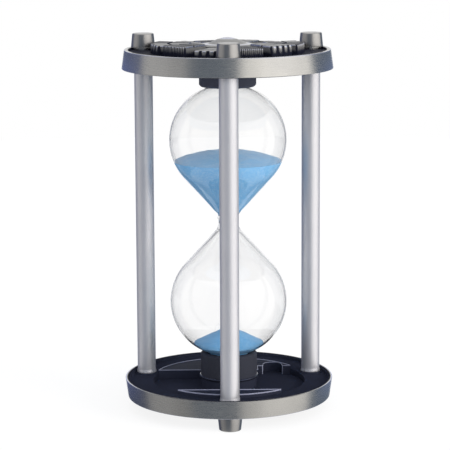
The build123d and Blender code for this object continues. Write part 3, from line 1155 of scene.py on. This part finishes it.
    def build(self, dresser: Dresser) -> None:
        """Make both liners and dress them.

        Args:
            dresser: Gives the materials.
        """
        bottom = self.shell()
        materials = dresser.get(Finish.LINER, Finish.LINER_HIGHLIGHT, Finish.LINER_SHADED_TOP)
        for name, shell in (("bottom_liner", bottom), ("top_liner", bottom.turned_over(OVERALL_HEIGHT))):
            settle(shell.to_object(f"{name}_moulding", materials), "liner_black", name)


# ---------------------------------------------------------------- pillars and feet


@dataclass
class Pillar:
    """Satin aluminium tube, flared a little at both ends."""

    name: str
    wall: float = 1.0
    flare: float = 0.25
    flare_band: float = 0.5
    flare_length: float = 1.6
    flare_round: float = 3.0

    def build(self, dresser: Dresser) -> None:
        """Make the tube and dress it.

        Args:
            dresser: Gives the materials.
        """
        node = f"{self.name}_pillar"
        low, high = box_mm(node)
        wide = (high.x - low.x) / 2
        radius = wide - self.flare
        corners = [
            (radius - self.wall, low.z, 0.0),
            (wide, low.z, 0.2),
            (wide, low.z + self.flare_band, 0.4),
            (radius, low.z + self.flare_length, self.flare_round),
            (radius, high.z - self.flare_length, self.flare_round),
            (wide, high.z - self.flare_band, 0.4),
            (wide, high.z, 0.2),
            (radius - self.wall, high.z, 0.0),
        ]
        shell = Shell()
        shell.add_turned(rounded(corners, step_degrees=4.0), segments=96, centre=axis_of(node))
        settle(shell.to_object(f"{node}_tube", dresser.get(Finish.ALUMINIUM)), "satin_aluminium", node)


@dataclass
class Foot:
    """Tapered cap nut that is a foot at the bottom and a stud at the top."""

    end: str
    name: str
    tip_radius: float = 4.6
    tip_round: float = 0.5
    seat_radius: float = 5.2
    seat_round: float = 0.15

    def build(self, dresser: Dresser) -> None:
        """Make the nut and dress it.

        Args:
            dresser: Gives the materials.
        """
        node = f"{self.end}_{self.name}_foot"
        low, high = box_mm(node)
        height = high.z - low.z
        corners = [
            (0.0, 0.0, 0.0),
            (self.tip_radius, 0.0, self.tip_round),
            (self.seat_radius, height, self.seat_round),
            (0.0, height, 0.0),
        ]
        own = self.name if self.end == "bottom" else ROLLED[self.name]
        centre = axis_of(f"bottom_{own}_foot")
        shell = Shell()
        shell.add_turned(rounded(corners, closed=False), closed=False, segments=72, centre=centre)
        if self.end == "top":
            shell = shell.turned_over(OVERALL_HEIGHT)
        settle(shell.to_object(f"{node}_nut", dresser.get(Finish.NICKEL)), "dark_nickel", node)


# ---------------------------------------------------------------- cups


@dataclass
class Cup:
    """Rubber cup that holds one end of the glass, with a polished bead round its foot."""

    node: str
    radius: float = 12.2
    bore: float = 8.8
    floor: float = 1.6
    spigot_hole: float = 4.1
    bead: float = 0.6
    mouth_chamfer: float = 1.2
    edge_chamfer: float = 0.8

    def build(self, dresser: Dresser) -> None:
        """Make the cup and dress it.

        Args:
            dresser: Gives the materials.
        """
        low, high = box_mm(self.node)
        lower = self.node.startswith("lower")
        bottom = low.z if lower else OVERALL_HEIGHT - high.z
        top = bottom + high.z - low.z
        bead_top = bottom + 2 * self.bead
        corners = [
            (self.radius, bead_top, 0.0),
            (self.radius, top - self.edge_chamfer, 0.5),
            (self.radius - self.edge_chamfer, top, 0.25),
            (self.bore + self.mouth_chamfer, top, 0.2),
            (self.bore, top - self.mouth_chamfer, 0.3),
            (self.bore, bottom + self.floor, 0.2),
            (self.spigot_hole, bottom + self.floor, 0.0),
        ]
        outline = [(self.spigot_hole, bottom)]
        outline += arc((self.radius, bottom + self.bead), self.bead, -90, 90, 15)
        outline += rounded(corners, closed=False)[1:]

        def slot_of(first: Point, second: Point) -> int:
            """Slot 1 on the bead, 0 elsewhere."""
            return int(max(first[1], second[1]) <= bead_top + 1e-6 and min(first[0], second[0]) > self.bore)

        shell = Shell()
        shell.add_turned(outline, slot_of=slot_of)
        if not lower:
            shell = shell.turned_over(OVERALL_HEIGHT)
        # the upper cup takes a paler copy of the rubber, painted light from below
        materials = dresser.get(Finish.CUP if lower else Finish.UPPER_CUP_PAINTED_LIT, Finish.CUP_BEAD)
        settle(shell.to_object(f"{self.node}_moulding", materials), "cup_rubber", self.node)


# ---------------------------------------------------------------- glass and sand


@dataclass
class Bulb:
    """Double bulb of blown glass, whose inner outline also shapes the sand."""

    dome_arc: float = 23.5
    neck_length: float = 10.9
    neck_steps: int = 5
    waist_radius: float = 4.15
    waist_round: float = 7.0
    wall: float = 0.5
    orifice: float = 1.0
    orifice_round: float = 4.0
    collar_radius: float = 8.4
    collar_length: float = 5.5
    closed_end: float = 1.2
    end_round: float = 1.2
    end_round_inside: float = 1.0
    worked_length: float = 7.5  # distance from the waist at which the marks of hand work have faded
    worked_depth: float = 0.4
    worked_depth_inside: float = 0.06
    inside_limit: float = 2.5  # radius that only the inner wall comes below at the waist
    ridge_rate: float = 1.9  # radians of a wave per millimetre along the glass
    ridge_sway: float = 1.3
    twist_rate: float = 1.1
    twist_turns: int = 2
    phases: Point = (0.7, 1.0)

    def __post_init__(self) -> None:
        """Take the places from the glass's CAD box."""
        low, high = box_mm("glass_bulb")
        self.centre = (low.z + high.z) / 2
        self.reach = (high.z - low.z) / 2
        self.radius = (high.x - low.x) / 2
        offset = self.collar_radius - (self.radius - self.dome_arc)
        self.widest = self.reach - self.collar_length - math.sqrt(self.dome_arc**2 - offset**2)
        self.shoulder_arc = self.widest - self.neck_length

    def half(self, inset: float, waist: float, waist_arc: float, end: float) -> list[Point]:
        """One half of an outline, from the waist to an end.

        Args:
            inset: Distance inwards from the outside.
            waist: Radius at the waist.
            waist_arc: Radius of the curve there.
            end: Distance from the waist at which it ends.

        Returns:
            (radius, distance from the waist) of each point.
        """
        shoulder, dome = self.shoulder_arc - inset, self.dome_arc - inset
        collar = self.collar_radius - inset
        shoulder_at = (self.radius - self.shoulder_arc, self.widest)
        dome_at = (self.radius - self.dome_arc, self.widest)
        waist_at = (waist + waist_arc, 0.0)
        across, along = shoulder_at[0] - waist_at[0], shoulder_at[1]
        gap = math.hypot(across, along)
        throat = math.degrees(math.atan2(along, across) + math.acos((shoulder + waist_arc) / gap))
        dome_sweep = math.degrees(math.acos((collar - dome_at[0]) / dome))
        points = arc(waist_at, waist_arc, 180, throat, 2.5)
        bulge = arc(shoulder_at, shoulder, throat - 180, 0)
        (x, y), (next_x, next_y) = points[-1], bulge[0]
        steps = self.neck_steps
        points += [(x + (next_x - x) * i / steps, y + (next_y - y) * i / steps) for i in range(1, steps)]
        return [*points, *bulge, *arc(dome_at, dome, 0, dome_sweep)[1:], (collar, end)]

    def inner_half(self, gap: float, end: float) -> list[Point]:
        """Half of the inside outline, drawn in by a gap and ending at a distance from the waist."""
        return self.half(self.wall + gap, self.orifice - gap, self.orifice_round + gap, end)

    def shell(self) -> Shell:
        """Build the glass: outside, open mouth at the top, inside and closed end.

        Returns:
            The mesh.
        """
        outside = self.half(0.0, self.waist_radius, self.waist_round, self.reach)
        inside = self.inner_half(0.0, self.reach)
        floor = self.reach - self.closed_end
        inside_low = self.inner_half(0.0, floor)
        foot, curve = self.collar_radius - self.end_round, self.end_round
        outline = [(0.0, -self.reach), (foot, -self.reach)]
        outline += arc((foot, curve - self.reach), curve, -80, 0, 10)
        outline += [(r, -z) for r, z in reversed(outside[:-1])]
        outline += outside[1:-1]
        lip = self.wall / 2
        outline += arc((self.collar_radius - lip, self.reach - lip), lip, 0, 180, 30)
        outline += list(reversed(inside[:-1]))
        outline += [(r, -z) for r, z in inside_low[1:-1]]
        curve = self.end_round_inside
        outline += arc((self.collar_radius - self.wall - curve, curve - floor), curve, 0, -80, 10)
        outline += [(0.0, -floor)]
        shell = Shell()
        shell.add_turned([(r, z + self.centre) for r, z in outline], closed=False, segments=216)
        shell.points = [self.worked(point) for point in shell.points]
        return shell

    def worked(self, point: Place) -> Place:
        """Move a point of the glass as hand working does, most of all near the waist.

        Args:
            point: Point as turned.

        Returns:
            The point nearer to the axis or farther from it.
        """
        x, y, z = point
        radius = math.hypot(x, y)
        if radius < 1e-6:
            return point
        along, angle = z - self.centre, math.atan2(y, x)
        near = math.exp(-((along / self.worked_length) ** 2))
        ridges = math.sin(self.ridge_rate * along + self.ridge_sway * math.sin(angle + self.phases[0]))
        twist = math.sin(self.twist_rate * along + self.twist_turns * angle + self.phases[1])
        depth = self.worked_depth if radius > self.inside_limit else self.worked_depth_inside
        scale = 1.0 + near * depth * (0.5 * ridges + 0.5 * twist) / radius
        return (x * scale, y * scale, z)

    def build(self, dresser: Dresser) -> None:
        """Make the glass and dress it."""
        glass = self.shell().to_object("glass_bulb_blown", dresser.get(Finish.GLASS), crease=60.0)
        settle(glass, "bulb_glass", "glass_bulb")


@dataclass
class Sand:
    """Sand above, in and below the waist."""

    bulb: Bulb
    gap: float = -0.03  # it presses into the wall's inner face, so that no air film shows
    mound: float = 4.4
    upper_depth: float = 9.0
    lower_depth: float = 18.7
    heap: float = 7.4
    heap_tip: float = 0.05  # share of the heap's radius over which its tip is rounded
    upper_bumps: float = 0.35
    lower_bumps: float = 0.25
    bump_width: float = 5.0
    ripple_width: float = 1.3
    ripple_share: float = 0.4
    fade_rate: float = 6.0  # how soon the bumps reach their height inside the edge
    upper_seed: float = 3.0
    lower_seed: float = 9.0
    ripple_seed: float = 4.0  # added for the ripples
    segments: int = 160
    surface_steps: int = 46
    stream_radius: float = 0.6
    stream_foot: float = 0.72  # share of that radius at the foot of the thread
    stream_swell: float = 0.2  # share added towards its top
    stream_waver: float = 0.1
    stream_knots: float = 1.7  # knots per millimetre
    stream_seed: float = 5.0
    stream_steps: int = 90
    stream_segments: int = 24

    def uneven(self, x: float, y: float, amount: float, seed: float) -> float:
        """Height of small unevenness at a place: wide bumps with narrow ripples on them.

        Args:
            x: Place along X.
            y: Place along Y.
            amount: Height of the bumps.
            seed: Picks the pattern.

        Returns:
            Height above or below the even surface.
        """
        bumps = noise.noise(Vector((x / self.bump_width, y / self.bump_width, seed)))
        ripples = noise.noise(Vector((x / self.ripple_width, y / self.ripple_width, seed + self.ripple_seed)))
        return amount * (bumps + self.ripple_share * ripples)

    def body(
        self, side: list[Point], rise: Callable[[float], float], lowest: float, seed: float, amount: float
    ) -> Shell:
        """Build a body of sand: its lowest point, its side against the glass and its free surface.

        Args:
            side: (radius, height) of the side's rings, the edge of the free surface last.
            rise: Height of the free surface above its edge at a share of the edge's radius.
            lowest: Height of its lowest point, on the axis.
            seed: Picks the unevenness of the surface.
            amount: Height of the unevenness.

        Returns:
            The mesh.
        """
        shell = Shell()
        side_rings = [shell.add_ring(radius, height, self.segments) for radius, height in side]
        rim, level = side[-1]
        free_rings = []
        for index in range(1, self.surface_steps):
            share = 1.0 - index / self.surface_steps
            fade = min(1.0, (1.0 - share) * self.fade_rate)
            points = []
            for step in range(self.segments):
                angle = 2 * math.pi * step / self.segments
                x, y = rim * share * math.cos(angle), rim * share * math.sin(angle)
                points.append((x, y, level + rise(share) + fade * self.uneven(x, y, amount, seed)))
            free_rings.append(shell.add_points(points))
        free_rings.append(shell.add_points([(0.0, 0.0, level + rise(0.0))]))
        rings = [shell.add_points([(0.0, 0.0, lowest)]), *side_rings, *free_rings]
        for lower, upper in zip(rings, rings[1:]):
            shell.join_rings(lower, upper)
        return shell

    def upper_shell(self) -> Shell:
        """Build the sand above the waist, with a mounded top.

        Returns:
            The mesh.
        """
        bulb = self.bulb
        level = bulb.widest - self.upper_depth
        side = [p for p in bulb.inner_half(self.gap, bulb.reach) if p[1] < level]
        inside = bulb.shoulder_arc - bulb.wall - self.gap
        rim = bulb.radius - bulb.shoulder_arc + math.sqrt(inside**2 - self.upper_depth**2)
        side = [(r, z + bulb.centre) for r, z in (*side, (rim, level))]
        ball = (rim**2 + self.mound**2) / (2 * self.mound)

        def rise(share: float) -> float:
            """Height of the mound, a cap of a ball, at a share of its radius."""
            return math.sqrt(ball**2 - (rim * share) ** 2) - (ball - self.mound)

        return self.body(side, rise, bulb.centre, self.upper_seed, self.upper_bumps)

    def lower_shell(self) -> Shell:
        """Build the heap below the waist.

        Returns:
            The mesh.
        """
        bulb = self.bulb
        level = -bulb.widest - self.lower_depth
        floor = -(bulb.reach - bulb.closed_end - self.gap)
        side = [(r, -z) for r, z in bulb.inner_half(self.gap, -floor) if -z < level]
        side.sort(key=lambda p: (p[1], p[0]))
        inside = bulb.dome_arc - bulb.wall - self.gap
        rim = bulb.radius - bulb.dome_arc + math.sqrt(inside**2 - self.lower_depth**2)
        side = [(r, z + bulb.centre) for r, z in (*side, (rim, level))]

        def rise(share: float) -> float:
            """Height of the heap, a cone with a rounded tip, at a share of its radius."""
            return self.heap * (1.0 - math.hypot(share, self.heap_tip)) / (1.0 - self.heap_tip)

        return self.body(side, rise, floor + bulb.centre, self.lower_seed, self.lower_bumps)

    def stream_shell(self) -> Shell:
        """Build the falling thread, which thins on its way down.

        Returns:
            The mesh.
        """
        low, high = box_mm("sand_stream")
        outline = [(0.0, low.z)]
        for index in range(self.stream_steps + 1):
            share = index / self.stream_steps
            height = low.z + (high.z - low.z) * share
            radius = self.stream_radius * (self.stream_foot + self.stream_swell * share)
            knot = noise.noise(Vector((height * self.stream_knots, 0.0, self.stream_seed)))
            radius += self.stream_waver * knot
            outline.append((min(radius, self.stream_radius), height))
        outline.append((0.0, high.z))
        shell = Shell()
        shell.add_turned(outline, closed=False, segments=self.stream_segments)
        return shell

    def build(self, dresser: Dresser) -> None:
        """Make the three bodies of sand and dress them.

        Args:
            dresser: Gives the materials.
        """
        bodies = {
            "upper_sand": self.upper_shell(),
            "lower_sand": self.lower_shell(),
            "sand_stream": self.stream_shell(),
        }
        for node, shell in bodies.items():
            piece = shell.to_object(f"{node}_grains", dresser.get(Finish.SAND), crease=50.0)
            settle(piece, "blue_sand", node)


# ---------------------------------------------------------------- pieces kept from CAD


@dataclass
class HiddenPieces:
    """CAD nodes that keep their own shape: rods inside the pillars, pads in the cups, the plug."""

    finishes: dict[str, Finish] = field(
        default_factory=lambda: {
            **{f"{name}_tie_rod": Finish.ROD_STEEL for name in PILLARS},
            "lower_pad": Finish.FELT,
            "upper_pad": Finish.FELT,
            "fill_plug": Finish.PLUG,
        }
    )

    def build(self, dresser: Dresser) -> None:
        """Dress each kept node.

        Args:
            dresser: Gives the materials.
        """
        for name, finish in self.finishes.items():
            (material,) = dresser.get(finish)
            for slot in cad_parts[name].material_slots:
                slot.material = material
            LOG.info("%s: kept from CAD, dressed as %s", name, finish.name)


# ---------------------------------------------------------------- studio


@dataclass(frozen=True)
class Panel:
    """Upright curved studio panel that only shows in reflections: a soft box or a dark card.

    Its angles go from the front, -Y, towards +X. Its light fades from the upper level to the lower one.
    """

    name: str
    start: float
    end: float
    colour: str
    high_light: float
    low_light: float
    in_glass: bool = False
    in_gloss: bool = True
    radius_m: float = 1.6
    low_m: float = -1.3
    high_m: float = 1.3
    fade_low_m: float = -0.85
    fade_high_m: float = 0.3
    steps: int = 24

    def material(self) -> bpy.types.Material:
        """Build the glowing cloth.

        Returns:
            The new material.
        """
        material = bpy.data.materials.new(f"{self.name}_cloth")
        tree = empty_tree(material)
        place = add_node(tree, "TexCoord").outputs["Object"]
        fade = {
            "Value": add_node(tree, "SeparateXYZ", {"Vector": place}).outputs["Z"],
            "From Min": self.fade_low_m,
            "From Max": self.fade_high_m,
            "To Min": self.low_light,
            "To Max": self.high_light,
        }
        light = add_node(tree, "MapRange", fade)
        glow = add_node(tree, "Emission", {"Color": linear(self.colour), "Strength": light})
        add_node(tree, "OutputMaterial", {"Surface": glow})
        return material

    def build(self) -> None:
        """Make the panel and hide it from all but reflections."""
        points = []
        for index in range(self.steps + 1):
            angle = math.radians(self.start + (self.end - self.start) * index / self.steps)
            x, y = self.radius_m * math.sin(angle), -self.radius_m * math.cos(angle)
            points += [(x, y, self.low_m), (x, y, self.high_m)]
        mesh = bpy.data.meshes.new(self.name)
        mesh.from_pydata(points, [], [(2 * i, 2 * i + 1, 2 * i + 3, 2 * i + 2) for i in range(self.steps)])
        mesh.materials.append(self.material())
        panel = add_object(self.name, mesh)
        panel.visible_camera = False
        panel.visible_diffuse = False
        panel.visible_glossy = self.in_gloss
        panel.visible_transmission = self.in_glass
        panel.visible_shadow = False


@dataclass(frozen=True)
class SunLamp:
    """Broad even lamp that shows in no reflection; its direction points from the object to the lamp."""

    name: str
    towards: Place
    strength: float
    colour: str
    spread: float = 38.0

    def build(self) -> None:
        """Make the lamp."""
        data = bpy.data.lights.new(self.name, "SUN")
        data.angle = math.radians(self.spread)
        data.energy = self.strength
        data.color = linear(self.colour)[:3]
        lamp = add_object(self.name, data)
        lamp.rotation_euler = (-Vector(self.towards)).to_track_quat("-Z", "Y").to_euler()
        lamp.visible_camera = False
        lamp.visible_glossy = False
        lamp.visible_transmission = False


@dataclass
class Studio:
    """Pale floor, white surround, soft lamps, reflection panels and the camera."""

    camera_at: Place = (0.0, -0.87031, 0.23358)
    camera_swing: float = -0.6
    camera_pitch: float = 9.989
    camera_roll: float = -0.27
    lens_mm: float = 164.08
    sensor_mm: float = 36.0
    shift_x: float = -0.0072
    clip_m: Point = (0.05, 30.0)
    floor_radius_m: float = 0.9
    floor_steps: int = 128
    floor_lit: str = "#f4f4f4"  # for the light that it throws on the object
    floor_seen: str = "#7c7c7c"  # for what is seen: over a glow it keeps the shadow and its edge melts away
    floor_lift: float = 0.855
    surround: str = "#f6f7fb"
    surround_light: float = 0.5
    lamps: tuple[SunLamp, ...] = (
        SunLamp("key_lamp", (0.72, -0.5, 0.28), 2.3, "#fffaf3"),
        SunLamp("fill_lamp", (-0.8, -0.45, 0.3), 0.52, "#f4f7ff"),
        SunLamp("front_lamp", (0.1, -0.9, 0.6), 0.8, "#f0f4ff"),
    )
    panels: tuple[Panel, ...] = (
        Panel("front_card", -44.0, 13.0, "#929caa", 0.75, 0.6),
        Panel("right_softbox_near", 13.0, 36.0, "#fffcf8", 1.45, 0.81),
        Panel("right_softbox", 36.0, 72.0, "#fffcf8", 1.8, 1.1),
        Panel("right_softbox_far", 72.0, 102.0, "#fffcf8", 1.6, 1.05),
        Panel("left_softbox_near", -66.0, -44.0, "#f6f5f6", 0.64, 0.34),
        Panel("left_softbox", -106.0, -66.0, "#f6f5f6", 0.77, 0.47),
        Panel("right_card", 102.0, 163.0, "#7b8798", 1.0, 1.0),
        Panel("left_card", -165.0, -106.0, "#77809f", 1.0, 0.44),
        Panel("left_edge_card", -162.0, -112.0, "#c4c4c6", 0.75, 0.75, in_glass=True, in_gloss=False),
        Panel("right_edge_card", 122.0, 160.0, "#dcdcde", 0.85, 0.85, in_glass=True, in_gloss=False),
    )

    def seen_share(self, tree: bpy.types.NodeTree) -> bpy.types.Node:
        """Tell the rays that show the background from those that only carry its light.

        Args:
            tree: Node tree to add to.

        Returns:
            Node that gives 1 for camera, glossy and transmission rays.
        """
        path = add_node(tree, "LightPath").outputs
        bent = {0: path["Is Glossy Ray"], 1: path["Is Transmission Ray"]}
        mirrored = add_node(tree, "Math", bent, operation="MAXIMUM")
        return add_node(tree, "Math", {0: path["Is Camera Ray"], 1: mirrored}, operation="MAXIMUM")

    def make_floor(self) -> None:
        """Round pale table top that keeps the object's shadow and whose edge melts into the white."""
        material = bpy.data.materials.new("pale_table")
        tree = empty_tree(material)
        pale = add_node(tree, "BsdfDiffuse", {"Color": linear(self.floor_lit)})
        faint = add_node(tree, "BsdfDiffuse", {"Color": linear(self.floor_seen)})
        glow = add_node(tree, "Emission", {"Color": linear("#ffffff"), "Strength": self.floor_lift})
        bright = add_node(tree, "AddShader", {0: faint, 1: glow})
        both = add_node(tree, "MixShader", {0: self.seen_share(tree), 1: pale, 2: bright})
        add_node(tree, "OutputMaterial", {"Surface": both})
        outline = Shell()
        outline.add_ring(self.floor_radius_m, 0.0, self.floor_steps)
        mesh = bpy.data.meshes.new("table_top")
        mesh.from_pydata(outline.points, [], [tuple(range(self.floor_steps))])
        mesh.materials.append(material)
        floor = add_object("table_top", mesh)
        floor.visible_glossy = False

    def make_world(self) -> None:
        """White surround for what the camera sees, softer for what it lights."""
        world = bpy.data.worlds.new("studio_white")
        tree = empty_tree(world)
        white = add_node(tree, "Background", {"Color": linear("#ffffff"), "Strength": 1.0})
        soft = add_node(tree, "Background", {"Color": linear(self.surround), "Strength": self.surround_light})
        both = add_node(tree, "MixShader", {0: self.seen_share(tree), 1: soft, 2: white})
        add_node(tree, "OutputWorld", {"Surface": both})
        bpy.context.scene.world = world

    def make_camera(self) -> None:
        """Long lens at the front, a little above the object."""
        data = bpy.data.cameras.new("camera")
        data.sensor_width = self.sensor_mm
        data.lens = self.lens_mm
        data.shift_x = self.shift_x
        data.clip_start, data.clip_end = self.clip_m
        camera = add_object("camera", data)
        swing = Matrix.Rotation(math.radians(self.camera_swing), 3, "Z")
        camera.location = swing @ Vector(self.camera_at)
        level = swing @ Matrix.Rotation(math.radians(90.0 - self.camera_pitch), 3, "X")
        camera.rotation_euler = (level @ Matrix.Rotation(math.radians(self.camera_roll), 3, "Z")).to_euler()
        bpy.context.scene.camera = camera

    def build(self) -> None:
        """Set up the whole studio."""
        bpy.context.scene.view_settings.view_transform = "Standard"
        self.make_floor()
        self.make_world()
        for fitting in (*self.lamps, *self.panels):
            fitting.build()
        self.make_camera()
        LOG.info("studio: %d lamps, %d panels", len(self.lamps), len(self.panels))


# ---------------------------------------------------------------- assembly


def main() -> None:
    """Build every sub-assembly, then the studio."""
    logging.basicConfig(level=logging.INFO, format="%(message)s")
    dresser = Dresser()
    EndCap().build(dresser)
    Liner().build(dresser)
    for name in PILLARS:
        Pillar(name).build(dresser)
        for end in ("bottom", "top"):
            Foot(end, name).build(dresser)
    for node in ("lower_cup", "upper_cup"):
        Cup(node).build(dresser)
    bulb = Bulb()
    bulb.build(dresser)
    Sand(bulb).build(dresser)
    HiddenPieces().build(dresser)
    Studio().build()


if __name__ == "__main__":
    main()
